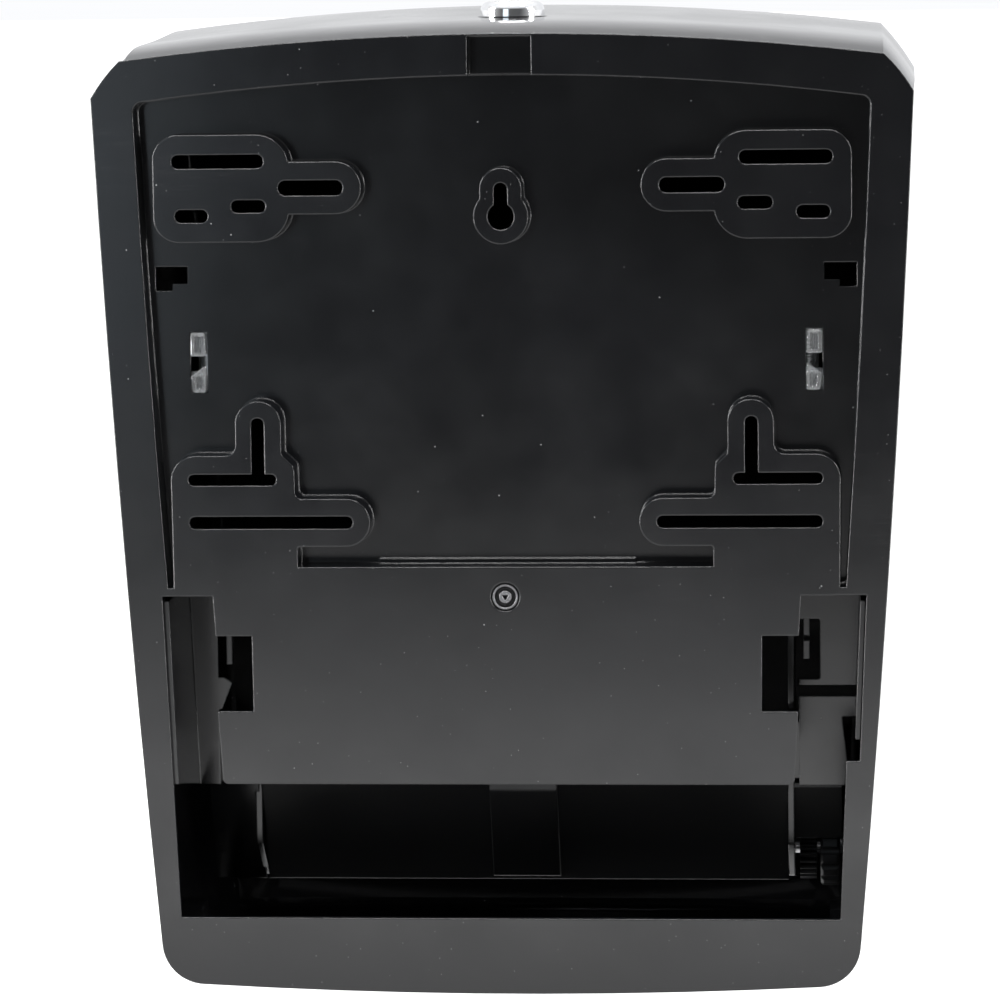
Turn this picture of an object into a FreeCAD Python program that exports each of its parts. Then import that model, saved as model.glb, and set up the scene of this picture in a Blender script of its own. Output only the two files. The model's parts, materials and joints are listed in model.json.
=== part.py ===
"""Wall-mounted roll towel dispenser, in millimetres.

X runs to the right as seen from the front, Y runs back towards the wall and Z runs up.
The origin is on the wall plane, on the axis of the keyhole that hangs the cabinet.
Everything in front of the wall is given by its depth, which is minus Y.
"""
import FreeCAD, Part
import math
import os

# ---------------------------------------------------------------- driving dimensions
WALL = 2.8                 # moulded wall of the back frame and the cover
RIM_DEPTH = 13.0           # depth of the back frame's rim, and of the pocket behind the panel
PANEL = 2.5                # thickness of the recessed panel
PANEL_FRONT = RIM_DEPTH + PANEL
RIM_WIDTH = 15.0

SHOULDER_HIGH = (138.5, 57.6)      # outline corners of the right half, (x, z)
SHOULDER_LOW = (149.3, 44.1)
FOOT = (128.2, -283.5)
TOP_BOW = 8.6
SHOULDER_BOW = 0.6
SIDE_BOW = 1.9
FOOT_BOW = 3.9
FOOT_RADIUS = 16.0

RECESS_FOOT = -135.8       # lower end of the pocket behind the panel
PLATE_TOP = -128.1         # upper edge of the lower plate, between its two pads
OPENING_TOP = -138.8
OPENING_FOOT = -259.1
PLATE_FOOT = -208.8
BOSS_Z = -139.2            # screw that ties the drive unit to the lower plate
NOTCH_DEPTH = 11.0         # depth of the notch through the top of the rim
KEEPER_SCREWS = (-11.5, 11.5)      # x of the two screws that hold the latch keeper
KEEPER_SCREW_Z = 38.0
TEAR_SCREWS = (-80.0, 0.0, 80.0)   # x of the screws that hold the tear bar
TEAR_SCREW_Z = -256.0

COVER_BACK = 13.5          # the cover starts just in front of the rim
COVER_DEPTH = 232.0
CROWN_RADIUS = 430.0
CROWN_Z = -93.0            # height of the cover's most forward point
COVER_EDGE = 13.0
MOUTH_REAR = 100.0         # rear and front edges of the slot under the cover
MOUTH_FRONT = 153.0

HINGE_DEPTH = 30.0
HINGE_Z = -274.4
HINGE_PIN_R = 2.5
HINGE_REACH = 15.0         # radius of the cover's lower rear corner around the hinge

LOCK_DEPTH = 70.0
LOCK_TOP = 71.6            # seat of the lock's bezel on its collar
LOCK_BARREL_R = 9.5
LOCK_BEZEL_R = 12.05
LOCK_BAND = 2.2            # height of the bezel's upright edge
LOCK_CAP = 5.6             # height of the whole bezel
PLUG_R = 6.5
RUNNING = 0.06             # radial clearance of a turning fit

ROLL_DEPTH = 118.0         # axis of the towel roll
ROLL_Z = -46.0
PATH_HALF = 101.8          # half the width of the paper path

FEED_DEPTH = 118.0
FEED_Z = -253.4
GEAR_MODULE = 1.0
FEED_TEETH = 26
PINCH_TEETH = 18
ROLLER_GAP = 0.15          # each roller stands this far inside its gear's pitch circle
FEED_PITCH_R = GEAR_MODULE * FEED_TEETH / 2
PINCH_PITCH_R = GEAR_MODULE * PINCH_TEETH / 2
PINCH_DEPTH = FEED_DEPTH + FEED_PITCH_R + PINCH_PITCH_R

X_AXIS = FreeCAD.Vector(1, 0, 0)
Y_AXIS = FreeCAD.Vector(0, 1, 0)
Z_AXIS = FreeCAD.Vector(0, 0, 1)
SIDES = {"left": -1, "right": 1}


# ---------------------------------------------------------------- shape helpers
def at(x, depth, z):
    """A point from its side position, its depth in front of the wall and its height."""
    return FreeCAD.Vector(x, -depth, z)


def box(x0, x1, d0, d1, z0, z1):
    return Part.makeBox(x1 - x0, d1 - d0, z1 - z0, at(x0, d1, z0))


def fuse(*shapes):
    return shapes[0].multiFuse(list(shapes[1:])).removeSplitter()


def cylinder_x(radius, x0, x1, depth, z):
    return Part.makeCylinder(radius, x1 - x0, at(x0, depth, z), X_AXIS)


def cylinder_y(radius, d0, d1, x, z):
    return Part.makeCylinder(radius, d1 - d0, at(x, d1, z), Y_AXIS)


def cylinder_z(radius, z0, z1, x, depth):
    return Part.makeCylinder(radius, z1 - z0, at(x, depth, z0), Z_AXIS)


def ring_x(outer, inner, x0, x1, depth, z):
    return cylinder_x(outer, x0, x1, depth, z).cut(cylinder_x(inner, x0, x1, depth, z))


def ring_z(outer, inner, z0, z1, x, depth):
    return cylinder_z(outer, z0, z1, x, depth).cut(cylinder_z(inner, z0, z1, x, depth))


def mirrored(shape, side):
    """The shape itself on the right (+1), or its mirror image on the left (-1)."""
    if side > 0:
        return shape
    return shape.mirror(FreeCAD.Vector(0, 0, 0), X_AXIS)


def unit(vector):
    length = math.hypot(*vector)
    return (vector[0] / length, vector[1] / length)


def grown(points, distance):
    """Move each side of a closed clockwise outline outwards by a distance, or inwards if negative."""
    lines = []
    for start, end in zip(points, points[1:] + points[:1]):
        along = unit((end[0] - start[0], end[1] - start[1]))
        outward = (-along[1], along[0])
        lines.append(((start[0] + outward[0] * distance, start[1] + outward[1] * distance), along))
    corners = []
    for (p, u), (q, v) in zip(lines[-1:] + lines[:-1], lines):
        cross = u[0] * v[1] - u[1] * v[0]
        t = ((q[0] - p[0]) * v[1] - (q[1] - p[1]) * v[0]) / cross
        corners.append((p[0] + u[0] * t, p[1] + u[1] * t))
    return corners


def rounded_wire(corners, place):
    """A closed wire from corners (u, v, radius), with a tangent arc at each corner."""
    stops = []
    for index, (u, v, radius) in enumerate(corners):
        before = corners[index - 1]
        after = corners[(index + 1) % len(corners)]
        back = unit((before[0] - u, before[1] - v))
        ahead = unit((after[0] - u, after[1] - v))
        half = math.acos(max(-1.0, min(1.0, back[0] * ahead[0] + back[1] * ahead[1]))) / 2
        run = radius / math.tan(half)
        middle = unit((back[0] + ahead[0], back[1] + ahead[1]))
        dip = radius / math.sin(half) - radius
        stops.append((place(u + back[0] * run, v + back[1] * run),
                      place(u + middle[0] * dip, v + middle[1] * dip),
                      place(u + ahead[0] * run, v + ahead[1] * run)))
    edges = []
    for index, (start, dip, end) in enumerate(stops):
        previous_end = stops[index - 1][2]
        if previous_end.distanceToPoint(start) > 1e-6:
            edges.append(Part.makeLine(previous_end, start))
        if start.distanceToPoint(end) > 1e-6:
            edges.append(Part.Arc(start, dip, end).toShape())
    return Part.Wire(edges)


def upright_prism(corners, d0, d1):
    """Extrude a clockwise outline of (x, z, radius) from one depth to another."""
    wire = rounded_wire(corners, lambda x, z: at(x, d0, z))
    return Part.Face(wire).extrude(FreeCAD.Vector(0, d0 - d1, 0))


def inset_corners(corners, inset):
    """The same rounded outline with every side moved inwards, round corners kept concentric."""
    moved = grown([(x, z) for x, z, _ in corners], -inset)
    result = []
    for index, (x, z, radius) in enumerate(corners):
        before = corners[index - 1]
        after = corners[(index + 1) % len(corners)]
        turn = (x - before[0]) * (after[1] - z) - (z - before[1]) * (after[0] - x)
        new_radius = radius - inset if turn < 0 else radius + inset
        result.append((*moved[index], max(new_radius, 0.3)))
    return result


def slot(x0, x1, z0, z1, d0, d1):
    """A round-ended slot given by its outer limits."""
    radius = min(x1 - x0, z1 - z0) / 2 - 0.001
    corners = [(x0, z1, radius), (x1, z1, radius), (x1, z0, radius), (x0, z0, radius)]
    return upright_prism(corners, d0, d1)


def side_prism(corners, x0, x1):
    """Extrude an outline of (depth, z, radius) across the cabinet from x0 to x1."""
    wire = rounded_wire(corners, lambda depth, z: at(x0, depth, z))
    return Part.Face(wire).extrude(FreeCAD.Vector(x1 - x0, 0, 0))


def hexagon_z(across_flats, z0, z1, x, depth):
    radius = across_flats / math.sqrt(3)
    points = []
    for index in range(7):
        angle = math.radians(60 * index)
        points.append(at(x + radius * math.cos(angle), depth + radius * math.sin(angle), z0))
    return Part.Face(Part.makePolygon(points)).extrude(FreeCAD.Vector(0, 0, z1 - z0))


# ---------------------------------------------------------------- cabinet outline
def bowed(start, end, bow, depth):
    """An arc between two outline corners that stands out by bow at its middle."""
    along = unit((end[0] - start[0], end[1] - start[1]))
    middle = ((start[0] + end[0]) / 2 - along[1] * bow, (start[1] + end[1]) / 2 + along[0] * bow)
    return Part.Arc(at(start[0], depth, start[1]), at(middle[0], depth, middle[1]),
                    at(end[0], depth, end[1])).toShape()


def outline_wire(depth, inset=0.0, top=0.0, side=0.0, foot=0.0):
    """The cabinet's outline at a depth: inset all round, then raised, widened and lowered."""
    right = [(SHOULDER_HIGH[0], SHOULDER_HIGH[1] + top),
             (SHOULDER_LOW[0] + side, SHOULDER_LOW[1] + 0.6 * top),
             (FOOT[0] + side, FOOT[1] - foot)]
    left = [(-x, z) for x, z in reversed(right)]
    corners = grown(right + left, -inset)
    bows = [SHOULDER_BOW, SIDE_BOW, FOOT_BOW, SIDE_BOW, SHOULDER_BOW, TOP_BOW]
    edges = []
    for index, bow in enumerate(bows):
        edges.append(bowed(corners[index], corners[(index + 1) % 6], bow, depth))
    return Part.Wire(edges)


def round_feet(solid, radius, reach):
    """Round the two lower corners of a cabinet-shaped solid."""
    picked = []
    for edge in solid.Edges:
        middle = edge.CenterOfMass
        if middle.z < FOOT[1] + reach and abs(abs(middle.x) - FOOT[0]) < reach and edge.BoundBox.YLength > 1.0:
            picked.append(edge)
    return solid.makeFillet(radius, picked)


def outline_prism(inset, d0, d1, foot_radius):
    face = Part.Face(outline_wire(d0, inset))
    solid = face.extrude(FreeCAD.Vector(0, d0 - d1, 0))
    if foot_radius <= 0:
        return solid
    return round_feet(solid, foot_radius, inset + 6)


# ---------------------------------------------------------------- back frame
def top_pad():
    """Outline of the right upper mounting pad, without its lobe."""
    return [(77.2, 30.5, 12.0), (127.0, 30.5, 9.0), (127.0, -8.6, 9.0), (77.2, -8.6, 12.0)]


def top_pad_lobe():
    """Outline of the lobe that runs inwards from the right upper pad."""
    return [(50.9, 20.5, 9.4), (95.0, 20.5, 1.0), (95.0, 1.4, 1.0), (50.9, 1.4, 9.4)]


def lower_pad():
    """Outline of the right lower mounting pad, which runs down into the lower plate."""
    return [(81.7, -66.9, 8.3), (98.5, -66.9, 8.3), (98.5, -86.9, 4.0), (122.6, -86.9, 9.0),
            (122.2, -145.0, 0.4), (76.3, -145.0, 0.4), (76.3, -120.5, 1.2), (49.4, -120.5, 8.7),
            (49.4, -102.9, 8.7), (76.8, -102.9, 2.5), (77.1, -91.0, 2.5), (81.7, -86.5, 2.0)]


def keyhole_pad(inset, d0, d1):
    lower = cylinder_y(10.0 - inset, d0, d1, 0, 0)
    upper = slot(-7.65 + inset, 7.65 - inset, -7.0, 17.6 - inset, d0, d1)
    return fuse(lower, upper)


def pads(inset, d0, d1):
    """Everything that stands up out of the pocket to the wall plane."""
    shapes = [keyhole_pad(inset, d0, d1)]
    for side in SIDES.values():
        for outline in (top_pad(), top_pad_lobe(), lower_pad()):
            shapes.append(mirrored(upright_prism(inset_corners(outline, inset), d0, d1), side))
    shapes.append(box(-80, 80, d0, d1, -145, PLATE_TOP - inset))
    return fuse(*shapes)


def notch(grow, d0, d1):
    """The gap through the top of the rim, in line with the lock."""
    return box(-11.6 - grow, 11.6 + grow, d0, d1, 40, 65.2)


def recess(grow, d0, d1):
    """The pocket behind the panel, or that pocket grown by the wall around it."""
    inner = outline_prism(RIM_WIDTH - grow, d0, d1, 0)
    inner = inner.cut(box(-200, 200, d0, d1, -400, RECESS_FOOT - grow))
    return inner.fuse(notch(grow, d0, NOTCH_DEPTH + 0.8 * grow)).cut(pads(grow, d0, d1))


def wall_slots(d0, d1):
    """Slots for the wall screws, the same on both sides."""
    right = [slot(86.35, 120.2, 18.25, 23.35, d0, d1),
             slot(57.4, 81.25, 8.2, 13.8, d0, d1),
             slot(107.0, 119.25, -1.4, 3.4, d0, d1),
             slot(85.8, 98.5, 2.1, 6.8, d0, d1),
             slot(83.65, 116.2, -97.9, -93.7, d0, d1),
             slot(87.9, 92.7, -97.9, -73.0, d0, d1),
             slot(55.7, 116.1, -113.9, -109.3, d0, d1)]
    shapes = []
    for side in SIDES.values():
        shapes += [mirrored(shape, side) for shape in right]
    return shapes


def keyhole(d0, d1):
    head = cylinder_y(4.85, d0, d1, 0, 0)
    neck = slot(-2.5, 2.5, 0, 12.3, d0, d1)
    return head.fuse(neck)


def big_opening():
    """The opening that runs down both sides of the lower plate and across below it."""
    right = [(108.0, OPENING_TOP, 0.4), (126.8, OPENING_TOP, 0.4), (122.05, OPENING_FOOT, 0.4)]
    plate_side = [(105.3, PLATE_FOOT, 2.0), (106.8, -181.7, 0.4), (93.55, -181.7, 0.4),
                  (93.75, -153.6, 0.4), (107.2, -153.6, 0.4)]
    mirror_side = [(-x, z, r) for x, z, r in reversed(right)]
    mirror_plate = [(-x, z, r) for x, z, r in reversed(plate_side)]
    opening = upright_prism(right + mirror_side + mirror_plate + plate_side, -1, 20)
    service_notch = [(-131.9, OPENING_TOP + 0.2, 0.4), (-120.0, OPENING_TOP + 0.2, 0.4),
                     (-120.0, -200.0, 0.4), (-129.3, -200.0, 0.4)]
    return opening.fuse(upright_prism(service_notch, -1, 20))


def panel_windows():
    """L-shaped core-out slots and the windows for the roll arms' hooks."""
    shapes = []
    for side in SIDES.values():
        for shape in (box(116.9, 128.7, 12, 17, -24.4, -18.2),
                      box(122.5, 128.7, 12, 17, -27.0, -24.0),
                      box(110.0, 116.2, 12, 17, -64.6, -42.3)):
            shapes.append(mirrored(shape, side))
    return shapes


def hinge_ears():
    """Ears that stand forward from the foot of the frame and hold the hinge pins."""
    shapes = []
    for side in SIDES.values():
        ear = side_prism([(2.0, -266.0, 0.3), (30.0, -266.0, 6.0), (38.5, -270.0, 6.0),
                          (38.5, -279.5, 6.0), (30.0, -282.5, 4.0), (2.0, -284.0, 0.3)], 106.0, 112.0)
        ear = ear.cut(cylinder_x(HINGE_PIN_R, 100, 115, HINGE_DEPTH, HINGE_Z))
        shapes.append(mirrored(ear, side))
    return shapes


def back_frame():
    rim = outline_prism(0, 0, RIM_DEPTH, FOOT_RADIUS)
    pocket_walls = recess(PANEL, 0, PANEL_FRONT)
    block = rim.fuse(pocket_walls)
    front_hollow = outline_prism(WALL, WALL, PANEL_FRONT + 1, FOOT_RADIUS - WALL)
    front_hollow = front_hollow.cut(recess(PANEL, 0, PANEL_FRONT + 2))
    frame = block.cut(front_hollow).cut(recess(0, -1, RIM_DEPTH))
    screw_seat = cylinder_y(5.3, -1, 1.8, 0, BOSS_Z)
    screw_hole = cylinder_y(2.3, -1, 6, 0, BOSS_Z)
    cuts = [keyhole(-1, 17), big_opening(), screw_seat, screw_hole]
    cuts += [cylinder_y(1.6, PANEL_FRONT - 2.0, PANEL_FRONT + 1, x, KEEPER_SCREW_Z) for x in KEEPER_SCREWS]
    cuts += wall_slots(-1, 17) + panel_windows()
    frame = frame.cut(Part.makeCompound(cuts))
    step = box(-47.5, 47.5, RIM_DEPTH - 2.0, RIM_DEPTH + 0.5, PLATE_TOP - 0.5, PLATE_TOP + 1.8)
    return fuse(frame, step, *hinge_ears())


# ---------------------------------------------------------------- cover
COVER_SECTIONS = [(0.0, 0.0, 0.0, 0.0), (0.07, 3.2, 0.6, 2.5), (0.22, 5.2, 1.2, 5.5), (0.5, 8.0, 1.9, 9.0),
                  (0.8, 7.0, 1.9, 9.5), (1.05, 3.5, 0.6, 9.5)]   # share of depth, rise, spread, drop


def cover_body(inset):
    """The cover's outside, or its inside when inset by the wall."""
    wires = []
    for share, top, side, foot in COVER_SECTIONS:
        depth = COVER_BACK + share * (COVER_DEPTH - COVER_BACK)
        wires.append(outline_wire(depth, inset, top, side, foot))
    if inset:
        wires.insert(0, outline_wire(COVER_BACK - 5, inset))
    body = Part.makeLoft(wires, True, False)
    crown = Part.makeSphere(CROWN_RADIUS - inset, at(0, COVER_DEPTH - CROWN_RADIUS, CROWN_Z))
    body = body.common(crown)
    body = round_feet(body, FOOT_RADIUS - inset, 24)
    front = []
    for edge in body.Edges:
        if edge.CenterOfMass.y < -150 and edge.BoundBox.YLength < 60:
            front.append(edge)
    return body.makeFillet(COVER_EDGE - inset, front)


def cover_mouth():
    """The slot under the cabinet where the towel comes out, and clearance around the hinge ears."""
    slot_box = box(-108, 108, MOUTH_REAR, MOUTH_FRONT, -320, -262)
    around_ears = [mirrored(box(104, 114, 5, 46, -320, -262), side) for side in SIDES.values()]
    return [slot_box, *around_ears]


def hinge_corner():
    """What the cover leaves out behind its hinge so that it can swing."""
    corner = box(-160, 160, 5, HINGE_DEPTH, -330, HINGE_Z)
    return corner.cut(cylinder_x(HINGE_REACH, -160, 160, HINGE_DEPTH, HINGE_Z))


WINDOW = [(-15.0, -20.0, 14.9), (15.0, -20.0, 14.9), (15.0, -150.0, 14.9), (-15.0, -150.0, 14.9)]


def front_cover(outside, inside):
    shell = outside.cut(inside)
    collar = cylinder_z(13.0, LOCK_TOP - 5.1, LOCK_TOP, 0, LOCK_DEPTH)
    knuckles = []
    for side in SIDES.values():
        knuckle = cylinder_x(7.0, 113.0, 128.0, HINGE_DEPTH, HINGE_Z)
        web = box(118.0, 128.0, HINGE_DEPTH - 5, HINGE_DEPTH + 12, HINGE_Z - 6, HINGE_Z + 14)
        knuckles.append(mirrored(fuse(knuckle, web).common(outside), side))
    shell = fuse(shell, collar, *knuckles)
    cuts = cover_mouth() + [hinge_corner(), upright_prism(WINDOW, 150, 240)]
    cuts.append(cylinder_z(LOCK_BARREL_R + 0.1, 55, 80, 0, LOCK_DEPTH))
    cuts.append(cylinder_z(12.4, LOCK_TOP, LOCK_TOP + 8, 0, LOCK_DEPTH))
    for side in SIDES.values():
        cuts.append(mirrored(cylinder_x(HINGE_PIN_R + RUNNING, 112, 124.2, HINGE_DEPTH, HINGE_Z), side))
    return shell.cut(Part.makeCompound(cuts))


def sight_window(outside, inside):
    """Smoked lens, flush in the cover's front, with a flange behind it."""
    lens = upright_prism(inset_corners(WINDOW, 0.15), 150, 240).common(outside)
    lens = lens.cut(inside.translated(FreeCAD.Vector(0, 2.0, 0)))
    flange = upright_prism(inset_corners(WINDOW, -5.0), 150, 240)
    flange = flange.common(inside).cut(inside.translated(FreeCAD.Vector(0, 2.0, 0)))
    return fuse(lens, flange)


def window_frame(inside):
    """Retaining frame behind the lens."""
    ring = upright_prism(inset_corners(WINDOW, -8.0), 150, 240)
    ring = ring.cut(upright_prism(inset_corners(WINDOW, -1.0), 150, 240))
    ring = ring.common(inside.translated(FreeCAD.Vector(0, 2.0, 0)))
    return ring.cut(inside.translated(FreeCAD.Vector(0, 4.0, 0)))


# ---------------------------------------------------------------- lock
def lock_housing():
    """Chromed bezel and threaded barrel."""
    band_top = LOCK_TOP + LOCK_BAND
    cap_top = LOCK_TOP + LOCK_CAP
    band = cylinder_z(LOCK_BEZEL_R, LOCK_TOP, band_top, 0, LOCK_DEPTH)
    dome = cylinder_z(LOCK_BEZEL_R, band_top, cap_top, 0, LOCK_DEPTH)
    dome = dome.makeFillet(LOCK_CAP - LOCK_BAND - 0.1, [edge for edge in dome.Edges
                                                        if edge.BoundBox.ZMin > cap_top - 0.1])
    barrel = cylinder_z(LOCK_BARREL_R, LOCK_TOP - 10.4, LOCK_TOP, 0, LOCK_DEPTH)
    bore = cylinder_z(PLUG_R + RUNNING, LOCK_TOP - 12, LOCK_TOP + 8, 0, LOCK_DEPTH)
    return fuse(band, dome, barrel).cut(bore)


def lock_plug():
    """Keyed plug with a flanged head, a square for the cam and a threaded tail."""
    head = cylinder_z(PLUG_R, LOCK_TOP - 11.4, LOCK_TOP + 5.0, 0, LOCK_DEPTH)
    square = box(-3.5, 3.5, LOCK_DEPTH - 3.5, LOCK_DEPTH + 3.5, LOCK_TOP - 13.4, LOCK_TOP - 11.4)
    tail = cylinder_z(3.0, LOCK_TOP - 17.6, LOCK_TOP - 13.4, 0, LOCK_DEPTH)
    key_slot = box(-4.2, 4.2, LOCK_DEPTH - 0.9, LOCK_DEPTH + 0.9, LOCK_TOP - 5, LOCK_TOP + 6)
    key_post = cylinder_z(2.4, LOCK_TOP - 5, LOCK_TOP + 6, 0, LOCK_DEPTH)
    return fuse(head, square, tail).cut(fuse(key_slot, key_post))


def lock_cam():
    """Bent steel cam; it points to the right when unlocked and back to the wall when locked."""
    top = LOCK_TOP - 11.4
    plate = box(-8.0, 19.0, LOCK_DEPTH - 5.0, LOCK_DEPTH + 5.0, top - 2.0, top)
    hook = box(17.0, 19.0, LOCK_DEPTH - 5.0, LOCK_DEPTH + 5.0, top - 8.7, top)
    hole = box(-3.55, 3.55, LOCK_DEPTH - 3.55, LOCK_DEPTH + 3.55, top - 3, top + 1)
    return fuse(plate, hook).cut(hole)


def lock_parts():
    cam_foot = LOCK_TOP - 13.4
    return {
        "lock_housing": lock_housing(),
        "lock_plug": lock_plug(),
        "lock_cam": lock_cam(),
        "lock_washer": ring_z(12.6, LOCK_BARREL_R + 0.15, LOCK_TOP - 5.9, LOCK_TOP - 5.1, 0, LOCK_DEPTH),
        "lock_nut": hexagon_z(22.0, LOCK_TOP - 9.9, LOCK_TOP - 5.9, 0, LOCK_DEPTH).cut(
            cylinder_z(LOCK_BARREL_R, LOCK_TOP - 12, LOCK_TOP, 0, LOCK_DEPTH)),
        "cam_nut": hexagon_z(10.0, cam_foot - 3.2, cam_foot, 0, LOCK_DEPTH).cut(
            cylinder_z(3.0, cam_foot - 5, cam_foot + 1, 0, LOCK_DEPTH)),
    }


def latch_keeper():
    """Hooked shelf on the panel that the lock's cam turns behind."""
    flange = box(-17.0, 17.0, PANEL_FRONT, PANEL_FRONT + 2.5, 28.0, 50.0)
    shelf = box(-9.0, 9.0, PANEL_FRONT, LOCK_DEPTH - 13.5, 47.0, 50.0)
    lip = box(-5.0, 5.0, LOCK_DEPTH - 15.7, LOCK_DEPTH - 13.5, 47.0, 57.6)
    rib = side_prism([(PANEL_FRONT, 48.0, 0.2), (48.0, 48.0, 1.0), (PANEL_FRONT, 30.0, 0.2)], -1.5, 1.5)
    holes = [cylinder_y(1.7, 10, 20, x, KEEPER_SCREW_Z) for x in KEEPER_SCREWS]
    return fuse(flange, shelf, lip, rib).cut(Part.makeCompound(holes))


def pan_screw(head_radius, shank_radius, length, head_height):
    """A cross-recess pan-head screw along +Z, its head on top and its seat at the origin."""
    head = Part.makeCylinder(head_radius, head_height)
    top_edges = [edge for edge in head.Edges if edge.BoundBox.ZMin > head_height - 0.1]
    head = head.makeFillet(head_height * 0.6, top_edges)
    shank = Part.makeCylinder(shank_radius, length, FreeCAD.Vector(0, 0, -length))
    recess_depth = head_height * 0.6
    arm = head_radius * 0.55
    cross = [Part.makeBox(2 * arm, 1.0, recess_depth, FreeCAD.Vector(-arm, -0.5, head_height - recess_depth)),
             Part.makeBox(1.0, 2 * arm, recess_depth, FreeCAD.Vector(-0.5, -arm, head_height - recess_depth))]
    return fuse(head, shank).cut(fuse(*cross))


def turned(shape, axis, angle, position):
    shape = shape.copy()
    shape.rotate(FreeCAD.Vector(0, 0, 0), axis, angle)
    shape.translate(position)
    return shape


def keeper_screws():
    screw = pan_screw(3.0, 1.6, 4.3, 2.0)
    seat = PANEL_FRONT + 2.5
    solids = [turned(screw, X_AXIS, 90, at(x, seat, KEEPER_SCREW_Z)) for x in KEEPER_SCREWS]
    return Part.makeCompound(solids)


# ---------------------------------------------------------------- roll arms and hubs
ARM_PIN_X = 111.0
ARM_PIN_DEPTH = 23.0


def arm_hook(neck_low, neck_high, head):
    """One barbed hook through the panel; the head is an outline of (x, z, radius)."""
    neck = box(110.6, 115.6, 11.5, PANEL_FRONT + 0.5, neck_low, neck_high)
    barb = upright_prism(head, 10.0, RIM_DEPTH - 0.2)
    hollow = upright_prism(inset_corners(head, 1.2), 9.0, 11.2)
    return fuse(neck, barb).cut(hollow)


def arm_base():
    """Clear bracket that snaps through the panel with two barbed hooks (right side)."""
    plate = upright_prism([(104.5, -36.5, 2), (118.5, -36.5, 2), (118.5, -70.5, 2), (104.5, -70.5, 2)],
                          PANEL_FRONT, PANEL_FRONT + 2.2)
    plate = plate.cut(box(109.0, 117.2, PANEL_FRONT - 1, PANEL_FRONT + 3, -57.0, -51.2))
    shapes = [plate]
    for z0, z1 in ((-43.0, -38.0), (-69.0, -64.0)):
        knuckle = cylinder_z(3.8, z0, z1, ARM_PIN_X, ARM_PIN_DEPTH)
        shapes += [knuckle, box(ARM_PIN_X - 3.8, ARM_PIN_X + 3.8, PANEL_FRONT, ARM_PIN_DEPTH, z0, z1)]
    upper_head = [(110.7, -42.4, 1.0), (115.7, -42.4, 1.0), (115.9, -51.0, 0.8), (110.4, -51.0, 0.8)]
    lower_head = [(110.4, -54.4, 0.4), (115.8, -58.4, 0.6), (115.0, -64.4, 0.8), (110.5, -64.4, 0.8)]
    shapes += [arm_hook(-50.4, -43.4, upper_head), arm_hook(-63.6, -58.6, lower_head)]
    pin_hole = cylinder_z(1.5, -72, -35, ARM_PIN_X, ARM_PIN_DEPTH)
    return fuse(*shapes).cut(pin_hole)


def roll_arm():
    """Clear arm that swings out on its pin; the stub near its end carries the hub (right side)."""
    blade = side_prism([(23.0, -44.5, 2.0), (60.0, -38.0, 30.0), (108.0, -31.0, 8.0), (133.0, -34.0, 12.0),
                        (133.0, -60.0, 12.0), (108.0, -63.0, 8.0), (60.0, -60.0, 30.0), (23.0, -62.5, 2.0)],
                       109.5, 112.5)
    knuckle = cylinder_z(3.8, -62.5, -44.5, ARM_PIN_X, ARM_PIN_DEPTH)
    rail_high = box(112.5, 114.5, 34, 104, -46.0, -44.2)
    rail_low = box(112.5, 114.5, 34, 104, -57.0, -55.2)
    stub = cylinder_x(5.0, 93.5, 109.5, ROLL_DEPTH, ROLL_Z)
    boss = cylinder_x(9.0, 107.5, 109.5, ROLL_DEPTH, ROLL_Z)
    pin_hole = cylinder_z(1.5 + RUNNING, -72, -35, ARM_PIN_X, ARM_PIN_DEPTH)
    return fuse(blade, knuckle, rail_high, rail_low, stub, boss).cut(pin_hole)


def roll_hub():
    """Stepped plug that centres the towel roll's core (right side)."""
    flange = cylinder_x(24.0, 104.4, 107.2, ROLL_DEPTH, ROLL_Z)
    nose = cylinder_x(18.6, 96.0, 104.4, ROLL_DEPTH, ROLL_Z)
    nose = nose.makeFillet(2.5, [edge for edge in nose.Edges if edge.BoundBox.XMax < 96.1])
    hub = fuse(flange, nose)
    pockets = []
    for index in range(6):
        pocket = Part.makeBox(6.0, 7.5, 7.0, FreeCAD.Vector(0, 7.5, -3.5))
        pocket.rotate(FreeCAD.Vector(0, 0, 0), X_AXIS, 60 * index)
        pocket.translate(at(95.5, ROLL_DEPTH, ROLL_Z))
        pockets.append(pocket)
    return hub.cut(Part.makeCompound(pockets + [cylinder_x(5.0 + RUNNING, 90, 110, ROLL_DEPTH, ROLL_Z)]))


def hub_cap():
    """Press-on cap that keeps the hub on its stub (right side)."""
    rim = cylinder_x(8.0, 93.5, 95.6, ROLL_DEPTH, ROLL_Z)
    end = cylinder_x(7.0, 91.7, 93.5, ROLL_DEPTH, ROLL_Z)
    return fuse(rim, end).cut(cylinder_x(5.0, 93.5, 110, ROLL_DEPTH, ROLL_Z))


def arm_parts():
    parts = {}
    for name, side in SIDES.items():
        parts["arm_base_" + name] = mirrored(arm_base(), side)
        parts["roll_arm_" + name] = mirrored(roll_arm(), side)
        parts["roll_hub_" + name] = mirrored(roll_hub(), side)
        pin = cylinder_z(1.5, -70.5, -36.5, ARM_PIN_X, ARM_PIN_DEPTH)
        parts["arm_pin_" + name] = mirrored(pin, side)
        parts["hub_cap_" + name] = mirrored(hub_cap(), side)
    return parts


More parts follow.
